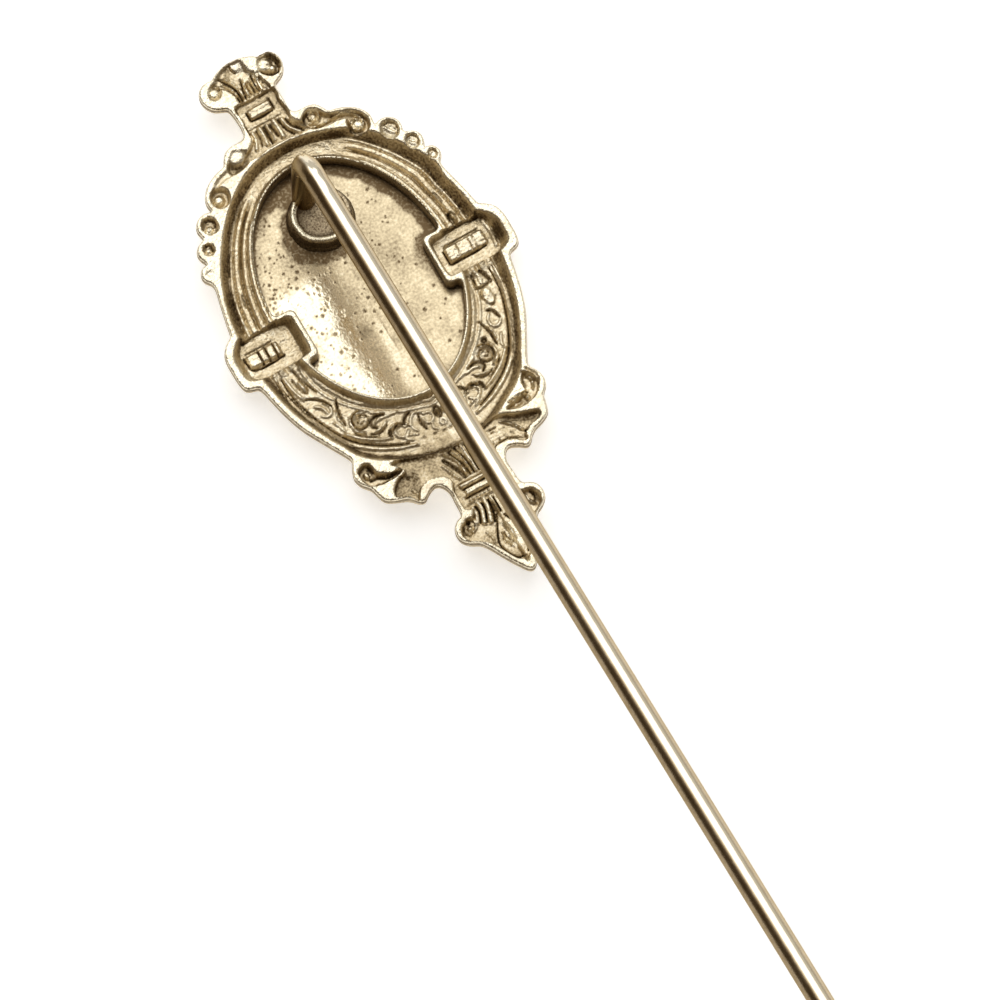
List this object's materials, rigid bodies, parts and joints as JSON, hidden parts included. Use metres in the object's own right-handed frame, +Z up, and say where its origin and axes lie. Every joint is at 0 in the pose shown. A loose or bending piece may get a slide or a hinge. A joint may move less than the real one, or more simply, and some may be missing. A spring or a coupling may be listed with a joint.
{
  "type": "stick pin",
  "caption": "Long straight stick pin with a bent wire stem soldered behind an oval, die-struck ornamental head with a crest, side straps, leaves and a pendant drop.",
  "frame": {"origin": "on the surface that the pin lies on, under the middle of the whole pin's length and width", "axes": "+Y runs along the head from the pendant drop towards the crest, so the stem's point is at -Y; +Z points up from the surface, out of the head's back; +X is to the right, seen from the back with the crest up"},
  "size_m": [0.0144, 0.0636, 0.0106],
  "materials": {
    "struck_metal": "aged gold tone, dark in the hollows and bright on the raised edges",
    "plate_metal": "satin plate with fine pits, smooth polished wire"
  },
  "bodies": {
    "root": {"frame": "struck_metal", "plate_and_stem": "plate_metal"}
  },
  "joints": []
}
